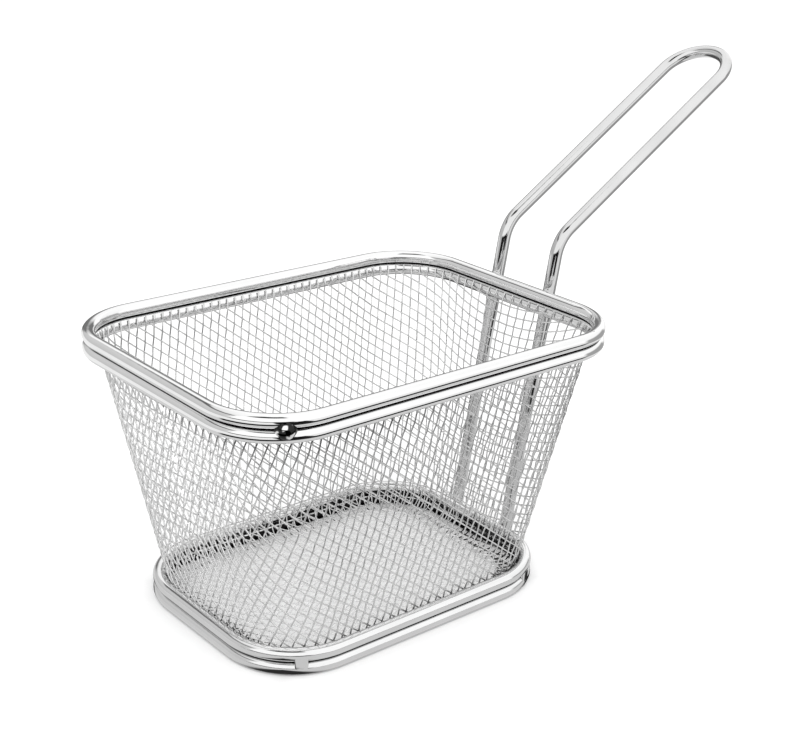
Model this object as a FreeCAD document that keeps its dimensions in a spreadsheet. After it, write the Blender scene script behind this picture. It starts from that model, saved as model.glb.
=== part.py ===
# Fry serving basket: a pressed wire-mesh tub between pairs of round-wire rings, with a looped wire handle
import FreeCAD, Part
import math
import os
import Sketcher
from FreeCAD import Placement, Rotation, Vector

doc = FreeCAD.newDocument("fry_basket")

# Driving dimensions, in millimetres and degrees
# +X points to the handle, +Z is up and the origin is the middle of the footprint on the table
SIZES = [
    ("wire", 4.0),              # round wire of the rings and the handle
    ("seat", 0.1),              # clearance where one piece seats on another
    ("rim_length", 133.4),      # centre lines of the two rim rings
    ("rim_width", 99.2),
    ("rim_corner", 21.2),
    ("rim_height", 84.0),       # centre of the upper rim ring above the table
    ("base_length", 106.4),     # centre lines of the two base rings
    ("base_width", 77.0),
    ("base_corner", 22.0),
    ("mesh_wall", 0.7),         # wires woven over and under each other
    ("mesh_floor", 1.6),        # underside of the mesh floor above the table
    ("floor_bend", 5.0),        # bend between the mesh walls and its floor
    ("hem_wall", 0.9),          # mesh edge folded over the lower rim ring
    ("hem_foot", 188.0),        # ends of the hem's section, about the ring's centre
    ("hem_tip", 122.0),
    ("gap_pitch", 15.0),        # spacing of the gaps, square to the wires
    ("web", 4.6),               # woven wall left between two gaps
    ("proud_wire", 0.6),        # thickness of the wires that stand half out of the wall
    ("border", 1.0),            # plain wall round each field of wires and gaps
    ("leg_spacing", 23.6),      # between the centre lines of the handle's legs
    ("leg_foot", 4.0),          # lower end of the legs above the table
    ("riser", 12.0),            # straight leg above the rim
    ("bend_radius", 11.6),      # bend from leg to arm, on the centre line
    ("arm_angle", 31.6),        # arms above the horizontal
    ("arm_length", 78.0),       # straight arm, up to the rounded end
    ("rim_bead", 3.1),          # radius of the round bead that joins the two rim rings
    ("base_bead", 3.8),         # length of each flush bead that joins the two base rings
    ("base_fill", 1.9),         # how far out a flush bead reaches from the rings' centre lines
]

# Directions of the steep and the sloping mesh wires, in degrees from the level as seen from outside
# The cloth turns as it goes round the tub, so each wall, named by the way it faces, has its own pair
WALL_WIRES = {0: (90.0, 0.0), 90: (102.0, 37.5), 180: (125.0, 57.0), 270: (78.0, -37.5)}
CORNER_WIRES = {0: (90.0, 19.0), 90: (90.0, 40.0), 180: (90.0, -45.0), 270: (90.0, -19.0)}
FLOOR_WIRES = (30.0, -60.0)
CORNER_GAP_TURNS = (30.0, 60.0)
CORNER_WIRE_TURNS = (15.0, 45.0, 75.0)

# Where the weld beads sit, in degrees about a ring corner's own centre
RIM_BEAD_TURN = 241.0
BASE_BEAD_TURNS = (239.0, 297.0)

sheet = doc.addObject("Spreadsheet::Sheet", "sizes")
for row, (alias, number) in enumerate(SIZES, start=1):
    sheet.set(f"A{row}", alias)
    sheet.set(f"B{row}", str(number))
    sheet.setAlias(f"B{row}", alias)
doc.recompute()

# Heights and slopes that follow from the sizes, as expressions
BASE_LOW = "(sizes.wire / 2)"
BASE_HIGH = "(1.5 * sizes.wire + sizes.seat)"
RIM_HIGH = "sizes.rim_height"
RIM_LOW = "(sizes.rim_height - sizes.wire - sizes.seat)"
RING_SEAT = "(sizes.wire / 2 + sizes.seat)"
RIM = ("sizes.rim_length", "sizes.rim_width", "sizes.rim_corner")
BASE = ("sizes.base_length", "sizes.base_width", "sizes.base_corner")
SLOPE_X = f"((sizes.rim_length - sizes.base_length) / 2 / ({RIM_LOW} - {BASE_HIGH}))"
SLOPE_Y = f"((sizes.rim_width - sizes.base_width) / 2 / ({RIM_LOW} - {BASE_HIGH}))"
LEG_SLOPE = f"((sizes.rim_length - sizes.base_length) / 2 / ({RIM_HIGH} - {BASE_HIGH}))"


def value(expression):
    """Work out an expression of the sheet in numbers."""
    return float(sheet.evalExpression(expression))


# Sketches and features that several pieces share

def new_body(label):
    body = doc.addObject("PartDesign::Body", label)
    body.Label = label
    return body


def new_sketch(body, name, plane):
    """A sketch on one of the body's own origin planes."""
    sketch = body.newObject("Sketcher::SketchObject", name)
    support = [face for face in body.Origin.OriginFeatures if face.Role == plane][0]
    sketch.AttachmentSupport = [(support, "")]
    sketch.MapMode = "FlatFace"
    return sketch


def bind(sketch, kind, arguments, expression, name):
    """Add one dimension to a sketch and tie it to the sheet."""
    index = sketch.addConstraint(Sketcher.Constraint(kind, *arguments, value(expression)))
    sketch.renameConstraint(index, name)
    sketch.setExpression(f"Constraints.{name}", expression)


def rounded_rectangle(body, name, outline, height):
    """A closed rounded rectangle about the Z axis, given by expressions for length, width and corner."""
    length, width, corner = outline
    sketch = new_sketch(body, name, "XY_Plane")
    sketch.setExpression("AttachmentOffset.Base.z", height)
    radius = value(corner)
    along = value(length) / 2 - radius
    across = value(width) / 2 - radius
    centres = [(along, across), (-along, across), (-along, -across), (along, -across)]
    arcs = []
    for quarter, (x, y) in enumerate(centres):
        circle = Part.Circle(Vector(x, y, 0), Vector(0, 0, 1), radius)
        start = quarter * math.pi / 2
        arcs.append(Part.ArcOfCircle(circle, start, start + math.pi / 2))
    lines = []
    for quarter in range(4):
        after = arcs[(quarter + 1) % 4]
        lines.append(Part.LineSegment(arcs[quarter].EndPoint, after.StartPoint))
    sketch.addGeometry(arcs + lines)
    for quarter in range(4):
        line = 4 + quarter
        sketch.addConstraint(Sketcher.Constraint("Tangent", quarter, 2, line, 1))
        sketch.addConstraint(Sketcher.Constraint("Tangent", line, 2, (quarter + 1) % 4, 1))
        sketch.addConstraint(Sketcher.Constraint("Vertical" if quarter % 2 else "Horizontal", line))
    for quarter in (1, 2, 3):
        sketch.addConstraint(Sketcher.Constraint("Equal", 0, quarter))
    sketch.addConstraint(Sketcher.Constraint("Symmetric", 0, 3, 2, 3, -1, 1))
    bind(sketch, "DistanceX", (5, 1, 7, 1), length, "length")
    bind(sketch, "DistanceY", (6, 1, 4, 1), width, "width")
    bind(sketch, "Radius", (0,), corner, "corner")
    return sketch


def circle_on(body, name, path, edge, radius):
    """A circle square to the start of one edge of a path."""
    sketch = body.newObject("Sketcher::SketchObject", name)
    sketch.AttachmentSupport = [(path, edge)]
    sketch.MapMode = "NormalToEdge"
    sketch.addGeometry(Part.Circle(Vector(0, 0, 0), Vector(0, 0, 1), value(radius)))
    sketch.addConstraint(Sketcher.Constraint("Coincident", 0, 3, -1, 1))
    bind(sketch, "Radius", (0,), radius, "radius")
    return sketch


def sweep(body, kind, name, profile, path):
    pipe = body.newObject(kind, name)
    pipe.Profile = profile
    pipe.Spine = path
    body.Tip = pipe
    return pipe


# Rings

def groove_place(outline, turn):
    """Expressions for a point on a ring's centre line, at one turn about a corner's centre."""
    length, width, corner = outline
    across, along = math.cos(math.radians(turn)), math.sin(math.radians(turn))
    x = f"({math.copysign(1, across)} * ({length} / 2 - {corner}) + {across} * {corner})"
    y = f"({math.copysign(1, along)} * ({width} / 2 - {corner}) + {along} * {corner})"
    return x, y, across, along


def round_bead(body, name, outline, turn, groove):
    """The outer half of a ball of weld metal, over both rings."""
    x, y, across, along = groove_place(outline, turn)
    ball = body.newObject("PartDesign::AdditiveSphere", name)
    ball.Angle3 = 180
    ball.setExpression("Radius", "sizes.rim_bead")
    ball.Placement = Placement(Vector(0, 0, 0), Rotation(Vector(0, 0, 1), turn - 90))
    ball.setExpression("Placement.Base.x", x)
    ball.setExpression("Placement.Base.y", y)
    ball.setExpression("Placement.Base.z", groove)
    body.Tip = ball


def flush_bead(body, name, outline, turn, groove):
    """Weld metal that fills the groove between both rings, dressed flush with them."""
    x, y, across, along = groove_place(outline, turn)
    block = body.newObject("PartDesign::AdditiveBox", name)
    block.setExpression("Length", "sizes.base_fill")
    block.setExpression("Width", "sizes.base_bead")
    block.setExpression("Height", "sizes.wire + sizes.seat")
    block.Placement = Placement(Vector(0, 0, 0), Rotation(Vector(0, 0, 1), turn))
    block.setExpression("Placement.Base.x", f"{x} + {along} * sizes.base_bead / 2")
    block.setExpression("Placement.Base.y", f"{y} - {across} * sizes.base_bead / 2")
    block.setExpression("Placement.Base.z", f"{groove} - (sizes.wire + sizes.seat) / 2")
    body.Tip = block


def ring(label, outline, height, other_height=None, bead=None, turns=()):
    """A closed wire ring. Its weld beads leave the ring that it is stacked on clear."""
    body = new_body(label)
    path = rounded_rectangle(body, f"{label}_path", outline, height)
    profile = circle_on(body, f"{label}_section", path, "Edge1", "sizes.wire / 2")
    sweep(body, "PartDesign::AdditivePipe", f"{label}_wire", profile, path)
    for number, turn in enumerate(turns, start=1):
        bead(body, f"{label}_bead_{number}", outline, turn, f"(({height} + {other_height}) / 2)")
    if turns:
        other_path = rounded_rectangle(body, f"{label}_other_path", outline, other_height)
        other = circle_on(body, f"{label}_other_section", other_path, "Edge1", RING_SEAT)
        sweep(body, "PartDesign::SubtractivePipe", f"{label}_bead_seat", other, other_path)
    return body


def rings():
    return [
        ring("upper_rim_ring", RIM, RIM_HIGH, RIM_LOW, round_bead, (RIM_BEAD_TURN,)),
        ring("lower_rim_ring", RIM, RIM_LOW),
        ring("upper_base_ring", BASE, BASE_HIGH, BASE_LOW, flush_bead, BASE_BEAD_TURNS),
        ring("lower_base_ring", BASE, BASE_LOW),
    ]


# Mesh basket

OUTER_INSET = f"({RING_SEAT} + sizes.seat)"
INNER_INSET = f"({RING_SEAT} + sizes.seat + sizes.mesh_wall)"
INNER_FLOOR = "(sizes.mesh_floor + sizes.mesh_wall)"
WALL_CORNER = f"(sizes.base_corner - {OUTER_INSET})"


def wall_outline(height, inset):
    """Length and width of the mesh wall at a height, inset from the planes through the ring centres."""
    rise = f"({height} - {BASE_HIGH})"
    length = f"(sizes.base_length + 2 * {SLOPE_X} * {rise} - 2 * {inset} * sqrt(1 + {SLOPE_X} ^ 2))"
    width = f"(sizes.base_width + 2 * {SLOPE_Y} * {rise} - 2 * {inset} * sqrt(1 + {SLOPE_Y} ^ 2))"
    return length, width


def rectangle(body, name, length, width, height):
    """A rectangle about the Z axis."""
    sketch = new_sketch(body, name, "XY_Plane")
    sketch.setExpression("AttachmentOffset.Base.z", height)
    x, y = value(length) / 2, value(width) / 2
    corners = [Vector(-x, -y, 0), Vector(x, -y, 0), Vector(x, y, 0), Vector(-x, y, 0)]
    for start, end in zip(corners, corners[1:] + corners[:1]):
        sketch.addGeometry(Part.LineSegment(start, end))
    for line in range(4):
        sketch.addConstraint(Sketcher.Constraint("Coincident", line, 2, (line + 1) % 4, 1))
        sketch.addConstraint(Sketcher.Constraint("Vertical" if line % 2 else "Horizontal", line))
    sketch.addConstraint(Sketcher.Constraint("Symmetric", 0, 1, 2, 1, -1, 1))
    bind(sketch, "DistanceX", (0, 1, 0, 2), length, "length")
    bind(sketch, "DistanceY", (1, 1, 1, 2), width, "width")
    return sketch


def faces_toward(feature, direction):
    """Names of the faces that look mostly one way."""
    names = []
    for index, face in enumerate(feature.Shape.Faces, start=1):
        if face.normalAt(0, 0).dot(direction) > 0.9:
            names.append(f"Face{index}")
    return names


def lean(body, name, feature, directions, slope):
    """Lean two sides of a block outward, about the outline of its foot."""
    doc.recompute()
    draft = body.newObject("PartDesign::Draft", name)
    sides = [face for direction in directions for face in faces_toward(feature, direction)]
    draft.Base = (feature, sides)
    draft.NeutralPlane = (feature, faces_toward(feature, Vector(0, 0, -1)))
    draft.setExpression("Angle", f"atan({slope})")
    draft.Reversed = True
    body.Tip = draft
    return draft


def round_edges(body, name, feature, chosen, radius):
    """Round the edges that a test of their bounding boxes picks."""
    doc.recompute()
    edges = []
    for index, edge in enumerate(feature.Shape.Edges, start=1):
        if chosen(edge.BoundBox):
            edges.append(f"Edge{index}")
    fillet = body.newObject("PartDesign::Fillet", name)
    fillet.Base = (feature, edges)
    fillet.setExpression("Radius", radius)
    body.Tip = fillet
    return fillet


def leaning_block(label, inset, floor, bend_radius):
    """A solid block with leaning sides, rounded at its corners and round its foot."""
    body = new_body(label)
    near_foot = value(floor) + 1
    outline = rectangle(body, f"{label}_foot", *wall_outline(floor, inset), floor)
    block = body.newObject("PartDesign::Pad", f"{label}_block")
    block.Profile = outline
    block.setExpression("Length", f"{RIM_LOW} - {floor}")
    body.Tip = block
    short_lean = lean(body, f"{label}_short_lean", block, (Vector(1, 0, 0), Vector(-1, 0, 0)), SLOPE_X)
    long_lean = lean(body, f"{label}_long_lean", short_lean, (Vector(0, 1, 0), Vector(0, -1, 0)), SLOPE_Y)
    corner_radius = f"(sizes.base_corner - {inset})"
    corners = round_edges(body, f"{label}_corners", long_lean, lambda box: box.ZLength > 1, corner_radius)
    round_edges(body, f"{label}_bend", corners, lambda box: box.ZMax < near_foot, bend_radius)
    return body


def tub():
    """The pressed wall and floor: one leaning block hollowed by another."""
    body = leaning_block("pressed_wall", OUTER_INSET, "sizes.mesh_floor", "sizes.floor_bend")
    inside = leaning_block("tub_inside", INNER_INSET, INNER_FLOOR, "sizes.floor_bend - sizes.mesh_wall")
    hollow = body.newObject("PartDesign::Boolean", "hollow")
    hollow.Type = "Cut"
    hollow.Group = [inside]
    body.Tip = hollow
    return body


def hem(body):
    """The mesh edge folded over the lower rim ring, swept round the ring."""
    section = new_sketch(body, "hem_section", "XZ_Plane")
    centre = Vector(value("sizes.rim_length / 2"), value(RIM_LOW), 0)
    outer = f"({RING_SEAT} + sizes.hem_wall)"
    foot = math.radians(value("sizes.hem_foot"))
    tip = math.radians(value("sizes.hem_tip"))
    inner_arc = Part.ArcOfCircle(Part.Circle(centre, Vector(0, 0, 1), value(RING_SEAT)), tip, foot)
    outer_arc = Part.ArcOfCircle(Part.Circle(centre, Vector(0, 0, 1), value(outer)), tip, foot)
    section.addGeometry([
        inner_arc,
        outer_arc,
        Part.LineSegment(inner_arc.StartPoint, outer_arc.StartPoint),
        Part.LineSegment(inner_arc.EndPoint, outer_arc.EndPoint),
    ])
    for arc_end, line in ((1, 2), (2, 3)):
        section.addConstraint(Sketcher.Constraint("Coincident", 0, arc_end, line, 1))
        section.addConstraint(Sketcher.Constraint("Coincident", 1, arc_end, line, 2))
        section.addConstraint(Sketcher.Constraint("PointOnObject", 0, 3, line))
    section.addConstraint(Sketcher.Constraint("Coincident", 0, 3, 1, 3))
    bind(section, "DistanceX", (-1, 1, 0, 3), "sizes.rim_length / 2", "reach")
    bind(section, "DistanceY", (-1, 1, 0, 3), RIM_LOW, "height")
    bind(section, "Radius", (0,), RING_SEAT, "inner")
    bind(section, "Radius", (1,), outer, "outer")
    path = rounded_rectangle(body, "hem_path", RIM, RIM_LOW)
    return sweep(body, "PartDesign::AdditivePipe", "hem", section, path)


def field(half_low, half_high, low, high):
    """The four sides of a flat field, wider at the top, each as across, up and limit."""
    flare = (half_high - half_low) / (high - low)
    limit = half_low - flare * low
    return [(1, -flare, limit), (-1, -flare, limit), (0, 1, high), (0, -1, -low)]


def wave(angle):
    """Unit direction square to wires that run at an angle."""
    turn = math.radians(angle)
    return -math.sin(turn), math.cos(turn)


def clipped(corners, sides):
    """The part of a gap inside a field, without corners that come close together."""
    for across, up, limit in sides:
        inside = []
        for (x, y), (u, v) in zip(corners, corners[1:] + corners[:1]):
            here = limit - across * x - up * y
            there = limit - across * u - up * v
            if here >= 0:
                inside.append((x, y))
            if here * there < 0:
                share = here / (here - there)
                inside.append((x + share * (u - x), y + share * (v - y)))
        corners = inside
    pairs = zip(corners, corners[-1:] + corners[:-1])
    return [corner for corner, last in pairs if math.dist(corner, last) > 1]


def area(corners):
    return abs(sum(x * v - u * y for (x, y), (u, v) in zip(corners, corners[1:] + corners[:1]))) / 2


def gap_cells(sides, middle, wires, shift=0.0):
    """The gaps between woven wires in a field, each as its corners, without small remnants."""
    pitch = value("sizes.gap_pitch")
    edge = value("sizes.web / 2 / sizes.gap_pitch")
    (a, b), (c, d) = [wave(angle) for angle in wires]
    cross = a * d - b * c
    reach = int(2 * max(limit for across, up, limit in sides) / pitch)
    cells = []
    for i in range(-reach, reach):
        for j in range(-reach, reach):
            corners = []
            for u, v in ((edge, edge), (1 - edge, edge), (1 - edge, 1 - edge), (edge, 1 - edge)):
                first = (i + u + shift) * pitch
                second = (j + v) * pitch
                across = (d * first - b * second) / cross
                up = middle + (a * second - c * first) / cross
                corners.append((across, up))
            opening = clipped(corners, sides)
            if area(opening) > area(corners) / 3:
                cells.append(opening)
    return cells


def wire_lines(sides, middle, angle):
    """Wires that run between the gaps at one angle, cut off at the sides of the field."""
    pitch = value("sizes.gap_pitch")
    a, b = wave(angle)
    reach = int(2 * max(limit for across, up, limit in sides) / pitch)
    lines = []
    for i in range(-reach, reach):
        x, y = a * i * pitch, middle + b * i * pitch
        start, end = -math.inf, math.inf
        for p, q, limit in sides:
            speed = p * b - q * a
            if abs(speed) > 1e-9:
                stop = (limit - p * x - q * y) / speed
                start, end = (start, min(end, stop)) if speed > 0 else (max(start, stop), end)
            elif p * x + q * y > limit:
                end = start
        if end - start > pitch / 2:
            lines.append(((x + b * start, y - a * start), (x + b * end, y - a * end)))
    return lines


def cut_gaps(body, name, plane, turn, cells):
    """Cut gaps outward through one wall, square to a plane turned about its upright axis."""
    if not cells:
        return
    sketch = new_sketch(body, f"{name}_outlines", plane)
    sketch.AttachmentOffset = Placement(Vector(0, 0, 0), Rotation(Vector(0, 1, 0), turn))
    for corners in cells:
        for start, end in zip(corners, corners[1:] + corners[:1]):
            sketch.addGeometry(Part.LineSegment(Vector(*start, 0), Vector(*end, 0)))
    pocket = body.newObject("PartDesign::Pocket", name)
    pocket.Profile = sketch
    pocket.Type = "ThroughAll"
    pocket.Reversed = True
    body.Tip = pocket


def rod(start, end):
    """A mesh wire that stands half out of the wall, between two points of its face."""
    wire = doc.addObject("Part::Cylinder", "mesh_wire")
    wire.setExpression("Radius", "sizes.proud_wire / 2")
    wire.Height = (end - start).Length
    wire.Placement = Placement(start, Rotation(Vector(0, 0, 1), end - start))
    return wire


def half_outline(height, inset):
    """Half length and half width of the wall at a height, in numbers."""
    length, width = [value(part) for part in wall_outline(repr(height), inset)]
    return length / 2, width / 2


def corner_point(side_x, side_y, turn, height):
    """A point of a rounded corner's outer face, at one turn in the plan and one height."""
    half_x, half_y = half_outline(height, OUTER_INSET)
    radius = value(WALL_CORNER)
    slope_x, slope_y = value(SLOPE_X), value(SLOPE_Y)
    upright = Vector(side_x * slope_x, side_y * slope_y, 1).normalize()
    way = Vector(math.cos(math.radians(turn)), math.sin(math.radians(turn)), 0)
    reach = radius / math.sqrt(1 - way.dot(upright) ** 2)
    across = side_x * (half_x - radius * math.hypot(1, slope_x))
    along = side_y * (half_y - radius * math.hypot(1, slope_y))
    return Vector(across, along, height) + way * reach


def wall_fields(body):
    """Gaps and proud wires on the four flat walls and the four corners."""
    low = value("2 * sizes.wire + sizes.seat + sizes.border")
    high = value(f"{RIM_LOW} - {RING_SEAT} - sizes.hem_wall - sizes.border")
    border = value("sizes.border")
    middle = (low + high) / 2
    rods = []
    count = 0
    for facing, wires in WALL_WIRES.items():
        outward = Vector(round(math.cos(math.radians(facing))), round(math.sin(math.radians(facing))), 0)
        along = Vector(-outward.y, outward.x, 0)

        def on_wall(point, inset):
            across, up = point
            half_x, half_y = half_outline(up, inset)
            return outward * (half_x if outward.x else half_y) + along * across + Vector(0, 0, up)

        flats = []
        for level in (low, high):
            half_x, half_y = half_outline(level, OUTER_INSET)
            flats.append((half_y if outward.x else half_x) - value(WALL_CORNER) - border)
        sides = field(*flats, low, high)
        cells = gap_cells(sides, middle, wires)
        cut_gaps(body, f"wall_{facing}_gaps", "XZ_Plane", facing + 90, cells)
        count += len(cells)
        for angle, inset in zip(wires, (OUTER_INSET, INNER_INSET)):
            for start, end in wire_lines(sides, middle, angle):
                rods.append(rod(on_wall(start, inset), on_wall(end, inset)))
    for facing, wires in CORNER_WIRES.items():
        quarter = math.radians(facing + 45)
        side_x, side_y = math.copysign(1, math.cos(quarter)), math.copysign(1, math.sin(quarter))

        def on_corner(turn, height):
            return corner_point(side_x, side_y, turn, height)

        for turn in CORNER_GAP_TURNS:
            way = math.radians(facing + turn)
            along = Vector(-math.sin(way), math.cos(way), 0)
            across_low = on_corner(facing + turn, low).dot(along)
            across_high = on_corner(facing + turn, high).dot(along)
            lean = (across_high - across_low) / (high - low)
            cells = []
            column = field(corner_half(), corner_half(), low, high)
            for corners in gap_cells(column, middle, wires, shift=0.5):
                cells.append([(x + across_low + lean * (y - low), y) for x, y in corners])
            cut_gaps(body, f"corner_{facing + int(turn)}_gaps", "XZ_Plane", facing + turn + 90, cells)
            count += len(cells)
        for turn in CORNER_WIRE_TURNS:
            rods.append(rod(on_corner(facing + turn, low), on_corner(facing + turn, high)))
    return rods, count


def corner_half():
    """Half width of a column of gaps on a corner."""
    return value("(sizes.gap_pitch - sizes.border) / 2 + sizes.border")


def floor_field(body):
    """Gaps in the floor, with wires proud of it above and below."""
    half_x, half_y = half_outline(value("sizes.mesh_floor"), OUTER_INSET)
    edge = value(f"sizes.floor_bend + sizes.border + {WALL_CORNER} / 4")
    along, across = half_x - edge, half_y - edge
    sides = field(along, along, -across, across)
    cells = gap_cells(sides, 0, FLOOR_WIRES)
    cut_gaps(body, "floor_gaps", "XY_Plane", 0, cells)
    rods = []
    levels = ("sizes.mesh_floor + sizes.mesh_wall", "sizes.mesh_floor")
    for angle, level in zip(FLOOR_WIRES, levels):
        for start, end in wire_lines(sides, 0, angle):
            rods.append(rod(Vector(*start, value(level)), Vector(*end, value(level))))
    return rods, len(cells)


def mesh_basket():
    """The pressed wall with its hem and gaps, joined to the wires that stand proud of it."""
    body = tub()
    hem(body)
    wall_rods, wall_gaps = wall_fields(body)
    floor_rods, floor_gaps = floor_field(body)
    print("gaps", wall_gaps + floor_gaps, "wires", len(wall_rods) + len(floor_rods))
    woven = doc.addObject("Part::MultiFuse", "mesh_basket")
    woven.Shapes = [body] + wall_rods + floor_rods
    woven.Refine = False
    woven.Label = "mesh_basket"
    return woven


# Handle

def handle():
    """One wire: two legs up the outside of the short wall, a bend, two arms and a rounded end."""
    body = new_body("handle")
    leg_out = f"((sizes.wire + sizes.seat) * sqrt(1 + {LEG_SLOPE} ^ 2))"

    def leg_x(height):
        return f"(sizes.base_length / 2 + {leg_out} + {LEG_SLOPE} * ({height} - {BASE_HIGH}))"

    foot = ("sizes.leg_foot", leg_x("sizes.leg_foot"))
    bend = (f"({RIM_HIGH} + sizes.riser)", leg_x(f"({RIM_HIGH} + sizes.riser)"))
    leg_turn = math.atan(1 / value(LEG_SLOPE))
    arm_turn = math.radians(value("sizes.arm_angle"))
    radius = value("sizes.bend_radius")
    length = value("sizes.arm_length")

    path = new_sketch(body, "side_path", "XZ_Plane")
    path.setExpression("AttachmentOffset.Base.z", "sizes.leg_spacing / 2")
    leg_foot = Vector(value(foot[1]), value(foot[0]), 0)
    leg_top = Vector(value(bend[1]), value(bend[0]), 0)
    centre = leg_top + Vector(math.sin(leg_turn), -math.cos(leg_turn), 0) * radius
    circle = Part.Circle(centre, Vector(0, 0, 1), radius)
    arc = Part.ArcOfCircle(circle, arm_turn + math.pi / 2, leg_turn + math.pi / 2)
    arm_start = centre + Vector(-math.sin(arm_turn), math.cos(arm_turn), 0) * radius
    arm_end = arm_start + Vector(math.cos(arm_turn), math.sin(arm_turn), 0) * length
    path.addGeometry([Part.LineSegment(leg_foot, leg_top), arc, Part.LineSegment(arm_start, arm_end)])
    path.addConstraint(Sketcher.Constraint("Tangent", 0, 2, 1, 2))
    path.addConstraint(Sketcher.Constraint("Tangent", 1, 1, 2, 1))
    bind(path, "DistanceX", (-1, 1, 0, 1), foot[1], "foot_reach")
    bind(path, "DistanceY", (-1, 1, 0, 1), foot[0], "foot_height")
    bind(path, "DistanceX", (-1, 1, 0, 2), bend[1], "bend_reach")
    bind(path, "DistanceY", (-1, 1, 0, 2), bend[0], "bend_height")
    bind(path, "Radius", (1,), "sizes.bend_radius", "bend_radius")
    bind(path, "Distance", (2,), "sizes.arm_length", "arm_length")
    index = path.addConstraint(Sketcher.Constraint("Angle", 2, arm_turn))
    path.renameConstraint(index, "arm_angle")
    path.setExpression("Constraints.arm_angle", "sizes.arm_angle")
    section = circle_on(body, "side_section", path, "Edge1", "sizes.wire / 2")
    side = sweep(body, "PartDesign::AdditivePipe", "side", section, path)

    mirror = body.newObject("PartDesign::Mirrored", "other_side")
    mirror.Originals = [side]
    plane = [face for face in body.Origin.OriginFeatures if face.Role == "XZ_Plane"][0]
    mirror.MirrorPlane = (plane, [""])
    body.Tip = mirror

    end_path = new_sketch(body, "end_path", "XY_Plane")
    end_path.AttachmentOffset = Placement(Vector(0, 0, 0), Rotation(Vector(0, 1, 0), -30))
    end_path.setExpression("AttachmentOffset.Rotation.Angle", "-sizes.arm_angle")
    turned = f"(sizes.bend_radius * (cos(sizes.arm_angle) - cos(atan(1 / {LEG_SLOPE}))))"
    moved = f"(sizes.bend_radius * (sin(atan(1 / {LEG_SLOPE})) - sin(sizes.arm_angle)))"
    end_path.setExpression(
        "AttachmentOffset.Base.x", f"{bend[1]} + {moved} + sizes.arm_length * cos(sizes.arm_angle)")
    end_path.setExpression(
        "AttachmentOffset.Base.z", f"{bend[0]} + {turned} + sizes.arm_length * sin(sizes.arm_angle)")
    half_circle = Part.Circle(Vector(0, 0, 0), Vector(0, 0, 1), value("sizes.leg_spacing / 2"))
    end_path.addGeometry(Part.ArcOfCircle(half_circle, -math.pi / 2, math.pi / 2))
    end_path.addConstraint(Sketcher.Constraint("Coincident", 0, 3, -1, 1))
    end_path.addConstraint(Sketcher.Constraint("PointOnObject", 0, 1, -2))
    end_path.addConstraint(Sketcher.Constraint("PointOnObject", 0, 2, -2))
    bind(end_path, "Radius", (0,), "sizes.leg_spacing / 2", "radius")
    end_section = circle_on(body, "end_section", end_path, "Edge1", "sizes.wire / 2")
    sweep(body, "PartDesign::AdditivePipe", "rounded_end", end_section, end_path)
    return body


# Build, check and write

def check(pieces):
    """Stop if any object failed or any piece is not one sound solid."""
    for item in doc.Objects:
        if "Invalid" in item.State or "Error" in item.State:
            raise RuntimeError(f"{item.Name} failed: {item.State}")
    for piece in pieces:
        shape = piece.Shape
        if shape.isNull() or not shape.isValid() or len(shape.Solids) != 1:
            raise RuntimeError(f"{piece.Label} is not one valid solid")


pieces = rings() + [mesh_basket(), handle()]
doc.recompute()
check(pieces)
os.makedirs("parts", exist_ok=True)
for piece in pieces:
    piece.Shape.exportStep(f"parts/{piece.Label}.step")
    print(piece.Label, round(piece.Shape.Volume, 1))
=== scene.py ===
import math

import bmesh
import bpy
import numpy as np
from mathutils import Matrix, Vector


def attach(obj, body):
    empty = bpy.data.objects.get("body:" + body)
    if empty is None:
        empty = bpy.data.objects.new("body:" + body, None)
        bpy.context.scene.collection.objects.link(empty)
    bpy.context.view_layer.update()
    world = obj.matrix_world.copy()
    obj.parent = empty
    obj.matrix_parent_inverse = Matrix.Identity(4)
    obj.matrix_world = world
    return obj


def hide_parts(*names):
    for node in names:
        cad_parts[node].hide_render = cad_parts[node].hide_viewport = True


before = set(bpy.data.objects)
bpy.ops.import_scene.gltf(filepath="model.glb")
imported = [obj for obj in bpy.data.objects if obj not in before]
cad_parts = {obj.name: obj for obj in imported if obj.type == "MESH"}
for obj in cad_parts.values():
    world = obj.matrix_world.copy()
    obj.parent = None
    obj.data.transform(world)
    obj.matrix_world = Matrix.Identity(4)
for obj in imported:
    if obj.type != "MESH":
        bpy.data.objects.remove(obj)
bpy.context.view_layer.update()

MM = 0.001

# Wire rings, in metres: lengths and widths are between centre lines
WIRE = 4.0 * MM
SEAT = 0.1 * MM
RIM_LENGTH, RIM_WIDTH, RIM_CORNER = 133.4 * MM, 99.2 * MM, 21.2 * MM
BASE_LENGTH, BASE_WIDTH, BASE_CORNER = 106.4 * MM, 77.0 * MM, 22.0 * MM
RIM = (RIM_LENGTH, RIM_WIDTH, RIM_CORNER)
BASE = (BASE_LENGTH, BASE_WIDTH, BASE_CORNER)
RIM_HIGH = 84.0 * MM
RIM_LOW = RIM_HIGH - WIRE - SEAT
BASE_LOW = WIRE / 2
BASE_HIGH = BASE_LOW + WIRE + SEAT

# Sides round the wire, and steps along its bends
ROUND_SIDES = 32
CORNER_STEPS = 24
BEND_STEPS = 20
END_STEPS = 40

# Handle
LEG_SPACING = 23.6 * MM
LEG_FOOT = 4.0 * MM
FOOT_BEVEL = 0.5 * MM
RISER = 12.0 * MM
BEND_RADIUS = 11.6 * MM
ARM_ANGLE = math.radians(31.6)
ARM_LENGTH = 78.0 * MM

# Weld beads, placed by degrees about a ring corner's own centre
RIM_BEAD = 3.1 * MM
RIM_BEAD_TURN = 241
BASE_BEAD = 3.8 * MM
BASE_FILL = 1.9 * MM
BASE_BEAD_BEVEL = 0.35 * MM
BASE_BEAD_TURNS = (239, 297)

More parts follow.
